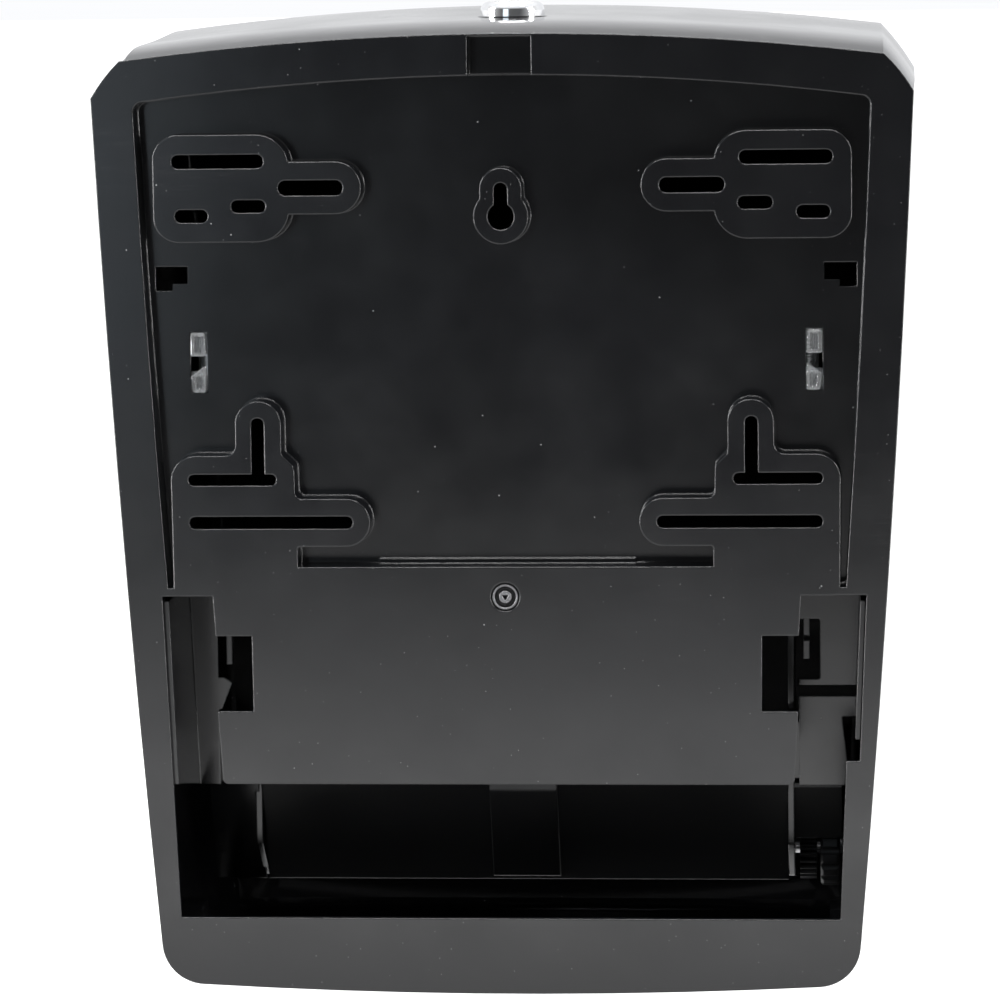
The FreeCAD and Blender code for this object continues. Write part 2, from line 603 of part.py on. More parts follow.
# ---------------------------------------------------------------- drive unit
WEB_DEPTH = 55.0           # rear face of the webs that show through the frame's opening
WEB = 2.0
WEB_TOP = -144.0
WEB_FOOT = -219.0
LINK_TOP = -197.0          # the webs are tied to the side plates below this height
SIDE_PLATE = 2.4
INNER_WEB_DEPTH = 70.0     # rear edge of the side plates
TIE_RODS = ((98.0, -161.0), (150.0, -222.0))   # depth and height of the two rods
GUIDE_WALL = [(78.0, -219.0, 0.5), (80.4, -219.0, 0.5), (80.4, -222.0, 0.5), (100.0, -264.0, 0.5),
              (97.6, -264.0, 0.5), (78.0, -222.0, 2.0)]   # lip, then a wall that slants forward
TONGUE = [(76.0, -220.0, 1.0), (80.4, -220.0, 0.5), (99.0, -262.0, 0.5), (93.2, -262.0, 1.0),
          (76.0, -225.0, 3.0)]
TONGUE_HALF = 13.0


def cheek(corners):
    """Flange that runs back from a web to the frame, with its lower edge slanted."""
    flange = upright_prism([(x, z, 0.2) for x, z in corners], WALL, WEB_DEPTH + WEB)
    slant = side_prism([(0.0, -209.0, 0.1), (60.0, -219.5, 0.1), (60.0, -240.0, 0.1), (0.0, -240.0, 0.1)],
                       90, 140)
    return flange.cut(slant)


def roller_plate():
    """Plate that carries the roller bushes and the tie rods (right side)."""
    plate = side_prism([(92.0, -152.0, 1), (112.0, -152.0, 8), (165.0, -205.0, 8), (165.0, -263.0, 3),
                        (100.0, -263.0, 3), (80.0, -246.5, 1), (80.0, -221.0, 1), (INNER_WEB_DEPTH, -221.0, 1),
                        (INNER_WEB_DEPTH, LINK_TOP, 1), (92.0, LINK_TOP, 3)],
                       PATH_HALF, PATH_HALF + SIDE_PLATE)
    holes = [cylinder_x(6.5, 100, 106, FEED_DEPTH, FEED_Z), cylinder_x(5.0, 100, 106, PINCH_DEPTH, FEED_Z)]
    holes += [cylinder_x(2.0, 100, 106, depth, z) for depth, z in TIE_RODS]
    head_link = box(PATH_HALF, PATH_HALF + SIDE_PLATE, WEB_DEPTH, 96.0, -156.0, WEB_TOP - 4)
    return plate.cut(Part.makeCompound(holes)).fuse(head_link)


def right_side_frame():
    """Right side of the drive unit: cheek, web, release finger, barb and roller plate."""
    front = WEB_DEPTH + WEB
    web = upright_prism([(114.2, WEB_TOP, 0.5), (126.5, WEB_TOP, 0.5), (124.0, WEB_FOOT, 0.5),
                         (114.2, WEB_FOOT, 0.5)], WEB_DEPTH, front)
    head = box(PATH_HALF, 115.0, WEB_DEPTH, front, -156.0, WEB_TOP)
    step_wall = box(114.2, 116.2, WEB_DEPTH, INNER_WEB_DEPTH + 2, WEB_FOOT, LINK_TOP)
    inner_web = box(PATH_HALF, 116.2, INNER_WEB_DEPTH, INNER_WEB_DEPTH + 2, WEB_FOOT, LINK_TOP)
    finger = box(108.6, 111.0, WEB_DEPTH - 1, front, -172.5, WEB_TOP)
    barb = upright_prism([(109.0, -179.5, 0.8), (112.0, -177.5, 1.0), (115.0, -177.5, 0.3),
                          (115.0, -190.0, 0.3), (113.2, -190.0, 1.0)], WEB_DEPTH, front)
    wall_end = side_prism(GUIDE_WALL, PATH_HALF + 1, 122.0)
    flange = cheek([(124.9, -141.0), (126.9, -141.0), (124.0, -221.0), (122.0, -221.0)])
    return fuse(flange, web, head, step_wall, inner_web, finger, barb, roller_plate(), wall_end)


def left_side_frame():
    """Left side of the drive unit, wider, with a release slot; drawn on the right and mirrored."""
    front = WEB_DEPTH + WEB
    upper_web = upright_prism([(106.5, WEB_TOP, 0.5), (130.5, WEB_TOP, 0.5), (128.7, -180.6, 0.5),
                               (106.5, -180.6, 0.5)], WEB_DEPTH, front)
    finger_gap = upright_prism([(100.0, -155.3, 0.3), (114.4, -155.3, 0.8), (114.4, -178.2, 0.8),
                                (100.0, -178.2, 0.3)], WEB_DEPTH - 1, front + 1)
    lower_web = upright_prism([(106.5, -184.7, 0.5), (128.5, -184.7, 0.5), (128.0, -192.6, 0.3),
                               (122.8, -192.6, 0.3), (124.8, -210.0, 0.5), (124.0, WEB_FOOT, 0.5),
                               (106.5, WEB_FOOT, 0.5)], WEB_DEPTH, front)
    finger_stem = box(108.1, 110.6, front + 4, front + 6, -170.6, WEB_TOP - 2)
    finger_root = box(108.1, 110.6, front - 1, front + 5, WEB_TOP - 6, WEB_TOP - 2)
    finger_tip = box(108.1, 110.6, WEB_DEPTH, front + 6, -170.6, -163.4)
    head = box(PATH_HALF, 107.0, WEB_DEPTH, front, -156.0, WEB_TOP)
    return_wall = box(106.5, 108.5, WEB_DEPTH, INNER_WEB_DEPTH + 2, WEB_FOOT, LINK_TOP)
    inner_web = box(PATH_HALF, 108.5, INNER_WEB_DEPTH, INNER_WEB_DEPTH + 2, WEB_FOOT, LINK_TOP)
    flange = cheek([(129.7, -141.0), (131.6, -141.0), (129.5, -192.4), (127.6, -192.4)])
    shape = fuse(flange, upper_web.cut(finger_gap), lower_web, finger_stem, finger_root, finger_tip,
                 head, return_wall, inner_web, roller_plate())
    return mirrored(shape, -1)


def roll_cradle():
    """Curved floor under the towel roll, screwed to the lower plate through its rear flange."""
    flange = box(-60, 60, WALL, WALL + 2.5, -150.0, -131.2)
    outer = Part.Arc(at(-PATH_HALF, WALL, -151.0), at(-PATH_HALF, 80, -157.0), at(-PATH_HALF, 150, -146.0))
    inner = Part.Arc(at(-PATH_HALF, 150, -143.8), at(-PATH_HALF, 80, -154.8), at(-PATH_HALF, WALL, -148.8))
    wire = Part.Wire([outer.toShape(), Part.makeLine(outer.EndPoint, inner.StartPoint), inner.toShape(),
                      Part.makeLine(inner.EndPoint, outer.StartPoint)])
    floor = Part.Face(wire).extrude(FreeCAD.Vector(2 * PATH_HALF, 0, 0))
    floor = floor.cut(Part.makeCompound([mirrored(box(92, 130, -1, 68, -170, -140), side)
                                         for side in SIDES.values()]))
    floor = floor.cut(Part.makeCompound([mirrored(box(PATH_HALF - 0.2, 130, -1, 170, -170, -140), side)
                                         for side in SIDES.values()]))
    boss = cylinder_y(5.0, WALL, 14, 0, BOSS_Z)
    return fuse(flange, floor, boss).cut(cylinder_y(1.9, 0, 15, 0, BOSS_Z))


def paper_guide():
    """Rear wall of the paper path with a proud tongue in the middle."""
    half = PATH_HALF - 0.1
    return fuse(side_prism(GUIDE_WALL, -half, half), side_prism(TONGUE, -TONGUE_HALF, TONGUE_HALF))


def gear_profile(teeth, backlash, phase):
    """Points of an involute gear's outline around the origin, one tooth centred on phase."""
    pitch_radius = GEAR_MODULE * teeth / 2
    base_radius = pitch_radius * math.cos(math.radians(20))
    tip_radius = pitch_radius + 0.9 * GEAR_MODULE
    root_radius = pitch_radius - 1.2 * GEAR_MODULE

    def involute(radius):
        angle = math.acos(min(1.0, base_radius / radius))
        return math.tan(angle) - angle

    half_tooth = math.pi / (2 * teeth) - backlash / (2 * pitch_radius)
    start = max(base_radius, root_radius)
    flank = []
    for step in range(4):
        radius = start + (tip_radius - start) * step / 3
        flank.append((radius, half_tooth + involute(pitch_radius) - involute(radius)))
    points = []
    for tooth in range(teeth):
        middle = phase + 2 * math.pi * tooth / teeth
        points.append((root_radius, middle - flank[0][1]))
        points += [(radius, middle - angle) for radius, angle in flank]
        points += [(radius, middle + angle) for radius, angle in reversed(flank)]
        points.append((root_radius, middle + flank[0][1]))
    return points


def gear_x(teeth, x0, x1, depth, z, bore, phase):
    corners = []
    for radius, angle in gear_profile(teeth, 0.16, phase):
        point = at(x0, depth + radius * math.cos(angle), z + radius * math.sin(angle))
        if not corners or corners[-1].distanceToPoint(point) > 1e-4:
            corners.append(point)
    corners.append(corners[0])
    gear = Part.Face(Part.makePolygon(corners)).extrude(FreeCAD.Vector(x1 - x0, 0, 0))
    return gear.cut(cylinder_x(bore, x0 - 1, x1 + 1, depth, z))


def thumb_wheel():
    """Scalloped wheel for feeding paper by hand."""
    wheel = cylinder_x(16.5, -121.5, -114.0, FEED_DEPTH, FEED_Z)
    wheel = wheel.makeChamfer(1.0, [edge for edge in wheel.Edges if edge.Length > 50])
    cuts = [cylinder_x(4.0, -125, -110, FEED_DEPTH, FEED_Z)]
    for index in range(16):
        angle = 2 * math.pi * index / 16
        cuts.append(cylinder_x(2.0, -125, -110, FEED_DEPTH + 17.6 * math.cos(angle), FEED_Z + 17.6 * math.sin(angle)))
    dish = ring_x(12.5, 6.5, -123, -119.5, FEED_DEPTH, FEED_Z)
    return wheel.cut(Part.makeCompound(cuts + [dish]))


def sleeves(outer, inner, depth):
    """Two rubber sleeves, one each side of the centre tongue."""
    solids = [mirrored(ring_x(outer, inner, 15.0, 98.5, depth, FEED_Z), side) for side in SIDES.values()]
    return Part.makeCompound(solids)


def bushes(flange, outer, inner, depth):
    """Flanged bushes in the two side plates."""
    solids = []
    for side in SIDES.values():
        body = ring_x(outer, inner, PATH_HALF - 1.3, PATH_HALF + SIDE_PLATE, depth, FEED_Z)
        rim = ring_x(flange, inner, PATH_HALF - 1.3, PATH_HALF, depth, FEED_Z)
        solids.append(mirrored(body.fuse(rim).removeSplitter(), side))
    return Part.makeCompound(solids)


def tie_rods():
    rods = [cylinder_x(2.0, -PATH_HALF - SIDE_PLATE, PATH_HALF + SIDE_PLATE, depth, z)
            for depth, z in TIE_RODS]
    return Part.makeCompound(rods)


def exit_bar():
    """Cross bar in front of the rollers that carries the tear bar."""
    half = PATH_HALF - 0.1
    bar = side_prism([(152.0, -243.0, 1.5), (163.5, -243.0, 3.0), (163.5, -270.0, 3.0),
                      (156.0, -270.0, 0.5), (152.0, -266.0, 0.5)], -half, half)
    return bar.cut(Part.makeCompound([cylinder_y(1.5, 150, 159, x, TEAR_SCREW_Z) for x in TEAR_SCREWS]))


def tear_bar():
    """Serrated steel strip on the rear face of the exit bar."""
    blade = box(-98.0, 98.0, 150.9, 152.0, -272.0, -250.0)
    teeth = []
    pitch = 4.0
    for index in range(49):
        x = -98.0 + pitch * index
        points = [at(x, 150.0, -272.1), at(x + pitch / 2, 150.0, -270.0), at(x + pitch, 150.0, -272.1)]
        face = Part.Face(Part.makePolygon(points + points[:1]))
        teeth.append(face.extrude(FreeCAD.Vector(0, -3.0, 0)))
    holes = [cylinder_y(1.6, 150, 153, x, TEAR_SCREW_Z) for x in TEAR_SCREWS]
    return blade.cut(Part.makeCompound(teeth + holes))


def tear_bar_screws():
    screw = pan_screw(2.8, 1.5, 8.0, 1.6)
    solids = [turned(screw, X_AXIS, -90, at(x, 150.9, TEAR_SCREW_Z)) for x in TEAR_SCREWS]
    return Part.makeCompound(solids)


def gear_cover():
    """Cover behind and above the gears, outboard of the left side plate."""
    inner = -PATH_HALF - SIDE_PLATE
    back = side_prism([(80.0, -222.5, 0.2), (82.2, -222.5, 0.2), (94.2, -246.4, 0.2), (92.0, -246.4, 0.2)],
                      -122.5, inner)
    top = box(-122.5, inner, 80, 152, -224.5, -222.5)
    front = box(-122.5, inner, 150, 152, -240.0, -222.5)
    return fuse(back, top, front)


def pinch_springs():
    """Bent leaf springs that press the pinch roller's bushes towards the feed roller."""
    solids = []
    for side in SIDES.values():
        x0 = PATH_HALF + SIDE_PLATE
        leaf = side_prism([(PINCH_DEPTH + 5.2, -262.0, 0.1), (PINCH_DEPTH + 5.9, -262.0, 0.1),
                           (PINCH_DEPTH + 5.9, -247.0, 0.1), (PINCH_DEPTH + 14.0, -242.6, 0.1),
                           (PINCH_DEPTH + 13.6, -241.9, 0.1), (PINCH_DEPTH + 5.2, -246.4, 0.1)],
                          x0, x0 + 1.6)
        solids.append(mirrored(leaf, side))
    return Part.makeCompound(solids)


def drive_parts():
    shaft_end = PATH_HALF + SIDE_PLATE
    lead = math.pi / FEED_TEETH
    return {
        "side_frame_left": left_side_frame(),
        "side_frame_right": right_side_frame(),
        "roll_cradle": roll_cradle(),
        "paper_guide": paper_guide(),
        "tie_rods": tie_rods(),
        "exit_bar": exit_bar(),
        "tear_bar": tear_bar(),
        "tear_bar_screws": tear_bar_screws(),
        "gear_cover": gear_cover(),
        "pinch_springs": pinch_springs(),
        "feed_bushes": bushes(8.5, 6.5, 4.0 + RUNNING, FEED_DEPTH),
        "pinch_bushes": bushes(6.5, 5.0, 3.0 + RUNNING, PINCH_DEPTH),
        "feed_shaft": cylinder_x(4.0, -122.5, shaft_end + 2.0, FEED_DEPTH, FEED_Z),
        "feed_sleeves": sleeves(FEED_PITCH_R - ROLLER_GAP, 4.0, FEED_DEPTH),
        "feed_gear": gear_x(FEED_TEETH, -112.5, -106.0, FEED_DEPTH, FEED_Z, 4.0, lead),
        "thumb_wheel": thumb_wheel(),
        "pinch_shaft": cylinder_x(3.0, -114.0, shaft_end + 2.0, PINCH_DEPTH, FEED_Z),
        "pinch_sleeves": sleeves(PINCH_PITCH_R - ROLLER_GAP, 3.0, PINCH_DEPTH),
        "pinch_gear": gear_x(PINCH_TEETH, -112.5, -106.0, PINCH_DEPTH, FEED_Z, 3.0, math.pi),
    }


def hinge_pins():
    solids = [mirrored(cylinder_x(HINGE_PIN_R, 106.0, 123.6, HINGE_DEPTH, HINGE_Z), side)
              for side in SIDES.values()]
    return Part.makeCompound(solids)


def unit_screw():
    """Tamper-resistant screw from the wall side through the lower plate into the cradle's boss."""
    head = Part.makeCylinder(4.9, 1.7)
    head = head.makeFillet(0.5, [edge for edge in head.Edges if edge.BoundBox.ZMin > 1.6])
    groove = Part.makeCylinder(3.9, 1.0, FreeCAD.Vector(0, 0, 0.9))
    groove = groove.cut(Part.makeCylinder(2.3, 1.0, FreeCAD.Vector(0, 0, 0.9)))
    corners = []
    for index in range(4):
        angle = math.radians(90 + 120 * index)
        corners.append(FreeCAD.Vector(1.4 * math.cos(angle), 1.4 * math.sin(angle), 0.8))
    socket = Part.Face(Part.makePolygon(corners)).extrude(FreeCAD.Vector(0, 0, 1.0))
    shank = Part.makeCylinder(1.9, 10.0, FreeCAD.Vector(0, 0, -10.0))
    screw = fuse(head.cut(groove).cut(socket), shank)
    return turned(screw, X_AXIS, -90, at(0, 1.8, BOSS_Z))


# ---------------------------------------------------------------- build and export
def main():
    outside = cover_body(0)
    inside = cover_body(WALL)
    parts = {
        "back_frame": back_frame(),
        "front_cover": front_cover(outside, inside),
        "sight_window": sight_window(outside, inside),
        "window_frame": window_frame(inside),
        "latch_keeper": latch_keeper(),
        "keeper_screws": keeper_screws(),
        "hinge_pins": hinge_pins(),
        "unit_screw": unit_screw(),
    }
    parts.update(lock_parts())
    parts.update(arm_parts())
    parts.update(drive_parts())
    os.makedirs("parts", exist_ok=True)
    for name, shape in sorted(parts.items()):
        shape.exportStep("parts/" + name + ".step")
        bounds = shape.BoundBox
        print("%-18s solids %d valid %s volume %9.0f  x %7.1f %7.1f  y %7.1f %7.1f  z %7.1f %7.1f" % (
            name, len(shape.Solids), shape.isValid(), shape.Volume, bounds.XMin, bounds.XMax,
            bounds.YMin, bounds.YMax, bounds.ZMin, bounds.ZMax))


main()
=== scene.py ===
"""Looks for the wall-mounted roll towel dispenser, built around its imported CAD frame."""
import json
import math

import bpy
from mathutils import Matrix, Vector


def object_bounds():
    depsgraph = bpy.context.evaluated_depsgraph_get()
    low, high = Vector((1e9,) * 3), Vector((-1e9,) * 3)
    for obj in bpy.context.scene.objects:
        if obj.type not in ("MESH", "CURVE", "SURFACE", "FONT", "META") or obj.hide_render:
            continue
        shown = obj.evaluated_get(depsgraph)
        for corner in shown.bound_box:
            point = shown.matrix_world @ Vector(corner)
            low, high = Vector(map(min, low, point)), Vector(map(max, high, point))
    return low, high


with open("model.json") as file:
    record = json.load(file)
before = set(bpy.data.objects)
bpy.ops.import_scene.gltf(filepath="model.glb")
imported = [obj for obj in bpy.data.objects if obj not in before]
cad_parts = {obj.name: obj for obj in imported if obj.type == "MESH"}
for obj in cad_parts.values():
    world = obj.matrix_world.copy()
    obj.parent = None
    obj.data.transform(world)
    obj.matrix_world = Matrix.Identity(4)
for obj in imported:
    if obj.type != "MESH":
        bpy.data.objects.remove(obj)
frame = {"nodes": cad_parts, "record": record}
CAD_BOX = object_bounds()
NODES = frame["nodes"]

MM = 0.001

# The camera looks at the wall side of the object from a little above.
CAMERA_LENS = 162.0                      # mm
CAMERA_SENSOR = 36.0                     # mm
CAMERA_DISTANCE = 1.6436                 # m, from the point it aims at
CAMERA_AZIMUTH = math.radians(184.516)
CAMERA_ELEVATION = math.radians(6.7)
CAMERA_ROLL = math.radians(-0.709)
CAMERA_AIM = Vector((0.00148, 0.0, -0.1034))   # on the wall plane; the origin is the keyhole
CAMERA_SIGHT = 100.0                     # m, past which nothing is drawn

# The floor, in metres. Y grows from the object towards the wall side.
FLOOR_REACH = 60.0                       # how far it runs sideways and behind the object
FLOOR_FRONT = 2.9                        # where it ends on the wall side, past which it is dark
FLOOR_DROP = 0.21                        # below the object, so that the open cover hangs clear of it
POOL_RISE = (1.0, 1.25)                  # the pool of light on the wall side starts and is full here,
POOL_FADE = (1.25, 2.55)                 # and fades out over this stretch
POOL_GLOW = 2.4
NEAR_EDGE, NEAR_GLOW = (0.0, 0.3), 0.25  # faint glow between the object and the pool
FAR_EDGE, FAR_GLOW = (-1.1, -0.7), 0.9   # behind the object, where the floor meets the white backdrop
SIDE_EDGE, SIDE_GLOW = (0.65, 0.9), 0.8  # to the left and right of the object

# The studio's strength by direction, as unit vector parts.
WALL_SIDE = (-0.35, 0.85)                # Y from the room's side to the wall side
ROOM_LIGHT, WALL_LIGHT = 1.0, 0.11
OVERHEAD = (0.25, 0.6)                   # Z from the horizon up
OVERHEAD_LIGHT = 1.1
STUDIO_COLOUR = (0.97, 0.98, 1.0, 1.0)

# Lights: name, place, width, height and power in watts, and colour.
LIGHT_TARGET = (0, 0, -0.1)
WHITE = (1.0, 1.0, 1.0)
DAYLIGHT = (0.78, 0.90, 1.0)
LIGHTS = (
    ("overhead", (0.0, -0.9, 2.4), 1.8, 1.8, 34.0, WHITE),
    ("top_strip", (0.0, 0.3, 1.5), 1.8, 0.45, 66.0, WHITE),
    ("left_strip", (1.5, 0.32, 0.2), 0.4, 1.3, 56.0, WHITE),
    ("right_strip", (-1.5, 0.32, 0.2), 0.4, 1.3, 45.0, WHITE),
    ("window_glow", (1.05, 2.75, 0.25), 1.0, 1.3, 6.0, DAYLIGHT),
)

# Noise textures rarely leave this middle band, so it is stretched to their full range.
NOISE_LOW, NOISE_HIGH = 0.3, 0.7
# How finely noise is packed along each axis: a low number draws it out into lines that way.
SCRATCH_GRAIN = (9.0, 700.0, 700.0)
DRAWN_GRAIN = (30.0, 2600.0, 2600.0)
PLATED_GRAIN = (500.0, 500.0, 60.0)
GROUND_GRAIN = (1800.0, 20.0, 20.0)
SPECK_SPREAD = 0.35                      # the smallest speck's share of the largest one's size
BEVEL_RAYS = 6
# Painted shade in the steel's recesses: the rays cast to find it, and its reach.
SHADE_RAYS = 8
SHADE_REACH = 3.0 * MM                   # how close another surface has to be for the painted shade to fall


# ---------------------------------------------------------------- node helpers
class Shader:
    """A small helper that adds nodes to one material and links them."""

    def __init__(self, name):
        self.material = bpy.data.materials.new(name)
        self.material.use_nodes = True
        self.tree = self.material.node_tree
        self.principled = self.tree.nodes["Principled BSDF"]
        self.coordinates = self.add("ShaderNodeTexCoord").outputs["Object"]

    def add(self, kind, inputs=None, **settings):
        node = self.tree.nodes.new(kind)
        for key, value in settings.items():
            setattr(node, key, value)
        for key, value in (inputs or {}).items():
            self.put(node.inputs[key], value)
        return node

    def put(self, socket, value):
        """Link another node's output to the socket, or set a plain value on it."""
        if isinstance(value, bpy.types.NodeSocket):
            self.tree.links.new(value, socket)
        else:
            socket.default_value = value

    def set(self, **values):
        """Fill the surface shader's sockets, with an underscore for each space in a name."""
        for key, value in values.items():
            self.put(self.principled.inputs[key.replace("_", " ")], value)

    def stretched(self, scale):
        """Object coordinates multiplied by a different scale along each axis."""
        return self.add("ShaderNodeMapping", {"Vector": self.coordinates, "Scale": scale}).outputs[0]

    def noise(self, scale, detail=3.0, roughness=0.5, vector=None):
        inputs = {"Vector": vector or self.coordinates, "Scale": scale, "Detail": detail,
                  "Roughness": roughness}
        return self.add("ShaderNodeTexNoise", inputs).outputs["Fac"]

    def cloud(self, scale, detail=3.0, roughness=0.5, start=0.0, end=1.0):
        """Soft noise that runs from start to end."""
        return self.ramp(self.noise(scale, detail, roughness), NOISE_LOW, NOISE_HIGH, start, end)

    def ramp(self, value, low, high, start=0.0, end=1.0):
        """The value mapped from low..high to start..end, and clamped."""
        inputs = {"Value": value, "From Min": low, "From Max": high, "To Min": start, "To Max": end}
        return self.add("ShaderNodeMapRange", inputs).outputs["Result"]

    def times(self, a, b):
        return self.math("MULTIPLY", a, b)

    def plus(self, a, b):
        return self.math("ADD", a, b)

    def either(self, a, b):
        return self.math("MAXIMUM", a, b)

    def math(self, operation, a, b):
        return self.add("ShaderNodeMath", {0: a, 1: b}, operation=operation).outputs[0]

    def mix(self, factor, a, b):
        """A colour between a and b."""
        node = self.add("ShaderNodeMix", data_type="RGBA")
        for name, value in (("Factor", factor), ("A", a), ("B", b)):
            self.put(node.inputs[name], value)
        return node.outputs["Result"]

    def rounded(self, radius):
        """Normals that round every edge over a radius, as moulding leaves it."""
        return self.add("ShaderNodeBevel", {"Radius": radius}, samples=BEVEL_RAYS).outputs["Normal"]

    def bump(self, height, strength, distance, normal=None):
        inputs = {"Height": height, "Strength": strength, "Distance": distance}
        if normal is not None:
            inputs["Normal"] = normal
        return self.add("ShaderNodeBump", inputs).outputs["Normal"]

    def specks(self, spacing, size, share):
        """Round dust specks: 1 inside a speck and 0 elsewhere. The size is the largest one's radius."""
        cells = self.add("ShaderNodeTexVoronoi", {"Vector": self.coordinates, "Scale": 1 / spacing})
        colour = self.add("ShaderNodeSeparateColor", {"Color": cells.outputs["Color"]})
        present = self.math("LESS_THAN", colour.outputs["Red"], share)
        largest = size / spacing
        reach = self.ramp(colour.outputs["Green"], 0.0, 1.0, SPECK_SPREAD * largest, largest)
        inside = self.math("LESS_THAN", cells.outputs["Distance"], reach)
        return self.times(present, inside)

    def scratches(self, turn, patch):
        """Thin faint lines in patches: noise drawn out one way and cut near its middle value."""
        inputs = {"Vector": self.coordinates, "Rotation": turn, "Scale": SCRATCH_GRAIN}
        mapping = self.add("ShaderNodeMapping", inputs)
        lines = self.noise(1.0, 2.0, 0.4, mapping.outputs[0])
        near = self.math("ABSOLUTE", self.math("SUBTRACT", lines, 0.5), 0.0)
        line = self.ramp(near, 0.0, 0.008, 1.0, 0.0)
        return self.times(line, self.ramp(self.noise(patch, 2.0), 0.6, 0.68))


def grey(value):
    return (value, value, value, 1.0)


def scaled(tone, *factors):
    """An opaque colour: the tone with each channel multiplied by its factor."""
    return (*(channel * factor for channel, factor in zip(tone, factors)), 1.0)


# ---------------------------------------------------------------- materials
def satin_black(name, tone, rough, dust):
    """Moulded black plastic: soft sheen with faint clouds, dust specks and light scratches."""
    s = Shader(name)
    colour = s.mix(s.cloud(9.0, 4.0, 0.55), (*tone, 1), scaled(tone, 1.5, 1.5, 1.6))
    speck = s.either(s.specks(6.5 * MM, 0.26 * MM, dust), s.specks(2.3 * MM, 0.14 * MM, dust))
    rubbed = s.either(s.scratches((0.4, 1.1, 0.5), 11.0), s.scratches((0.9, -0.5, 1.4), 15.0))
    rubbed = s.either(rubbed, s.scratches((0.2, 0.3, -0.8), 13.0))
    colour = s.mix(s.times(rubbed, 0.04), colour, grey(0.2))
    colour = s.mix(s.times(speck, 0.35), colour, grey(0.5))
    sheen = s.cloud(26.0, 5.0, 0.6, rough - 0.03, rough + 0.04)
    sheen = s.plus(sheen, s.times(speck, 0.3))
    normal = s.bump(s.noise(1700.0, 2.0, 0.6), 0.06, 0.1 * MM, s.rounded(0.75 * MM))
    normal = s.bump(s.noise(30.0, 2.0), 0.04, MM, normal)
    s.set(Base_Color=colour, Roughness=sheen, Normal=normal, IOR=1.5)
    return s.material


def gloss_black(name):
    """Polished black plastic with faint swirl marks and settled dust."""
    s = Shader(name)
    colour = s.mix(s.cloud(7.0), (0.0030, 0.0030, 0.0033, 1), (0.0048, 0.0048, 0.0054, 1))
    speck = s.either(s.specks(11.0 * MM, 0.4 * MM, 0.2), s.specks(4.0 * MM, 0.18 * MM, 0.12))
    colour = s.mix(s.times(speck, 0.7), colour, grey(0.5))
    swirl = s.scratches((0.5, 0.2, 0.8), 12.0)
    rough = s.cloud(20.0, 5.0, start=0.10, end=0.16)
    rough = s.plus(rough, s.times(s.either(swirl, speck), 0.2))
    normal = s.bump(s.noise(30.0, 2.0), 0.02, MM)
    s.set(Base_Color=colour, Roughness=rough, Normal=normal, IOR=1.52)
    return s.material


def brushed_metal(name, tone, rough, grain):
    """Metal with fine lines along one axis and some tarnish."""
    s = Shader(name)
    lines = s.noise(1.0, 3.0, 0.6, s.stretched(grain))
    cloud = s.ramp(s.noise(45.0, 4.0), 0.3, 0.75)
    colour = s.mix(cloud, (*tone, 1), scaled(tone, 0.7, 0.7, 0.72))
    colour = s.mix(s.times(s.ramp(lines, 0.45, 0.7), 0.25), colour, grey(0.85))
    worn = s.ramp(lines, NOISE_LOW, NOISE_HIGH, rough - 0.06, rough + 0.08)
    worn = s.plus(worn, s.times(cloud, 0.08))
    s.set(Base_Color=colour, Metallic=1.0, Roughness=worn, Normal=s.bump(lines, 0.12, 0.1 * MM))
    return s.material


def dark_steel(name):
    """Blackened steel with bright rounded edges and painted shade in its recesses."""
    s = Shader(name)
    colour = s.mix(s.cloud(300.0), (0.10, 0.10, 0.104, 1), (0.15, 0.15, 0.155, 1))
    # Painted shade: near other surfaces, in the recesses, the colour goes near black and the steel
    # turns rougher and less metallic.
    nearby = s.add("ShaderNodeAmbientOcclusion", {"Distance": SHADE_REACH}, samples=SHADE_RAYS)
    unshaded = s.ramp(nearby.outputs["AO"], 0.75, 0.98)
    colour = s.mix(unshaded, grey(0.003), colour)
    rough = s.cloud(900.0, start=0.20, end=0.30)
    rough = s.plus(rough, s.ramp(unshaded, 0.0, 1.0, 0.4, 0.0))
    s.set(Base_Color=colour, Roughness=rough, Metallic=s.times(unshaded, 0.5),
          Normal=s.rounded(0.8 * MM), Specular_IOR_Level=0.15)
    return s.material


def chrome(name):
    """Bright plating with faint clouds and a few pits."""
    s = Shader(name)
    cloud = s.noise(120.0, 4.0, 0.6)
    colour = s.mix(s.ramp(cloud, 0.35, 0.7), grey(0.92), (0.78, 0.79, 0.81, 1))
    pits = s.specks(1.4 * MM, 0.16 * MM, 0.25)
    rough = s.plus(s.cloud(500.0, 4.0, 0.7, 0.06, 0.17), s.times(pits, 0.3))
    s.set(Base_Color=colour, Metallic=1.0, Roughness=rough, Normal=s.bump(cloud, 0.05, 0.2 * MM))
    return s.material


def moulded_grey(name, tone):
    """Low-friction moulded grey plastic."""
    s = Shader(name)
    colour = s.mix(s.cloud(60.0, 4.0), (*tone, 1), scaled(tone, 0.8, 0.8, 0.79))
    speck = s.specks(3.5 * MM, 0.3 * MM, 0.2)
    colour = s.mix(s.times(speck, 0.5), colour, grey(0.08))
    rough = s.cloud(90.0, 5.0, start=0.34, end=0.5)
    s.set(Base_Color=colour, Roughness=rough, Normal=s.bump(s.noise(1500.0), 0.08, 0.1 * MM))
    return s.material


def roller_rubber(name):
    """Ground rubber with fine rings from grinding and a little paper dust."""
    s = Shader(name)
    rings = s.noise(1.0, 2.0, 0.5, s.stretched(GROUND_GRAIN))
    dust = s.ramp(s.noise(180.0, 6.0, 0.65), 0.5, 0.75)
    colour = s.mix(s.times(dust, 0.12), (0.005, 0.005, 0.0054, 1), grey(0.12))
    rough = s.ramp(rings, NOISE_LOW, NOISE_HIGH, 0.62, 0.8)
    s.set(Base_Color=colour, Roughness=rough, Normal=s.bump(rings, 0.3, 0.2 * MM))
    return s.material


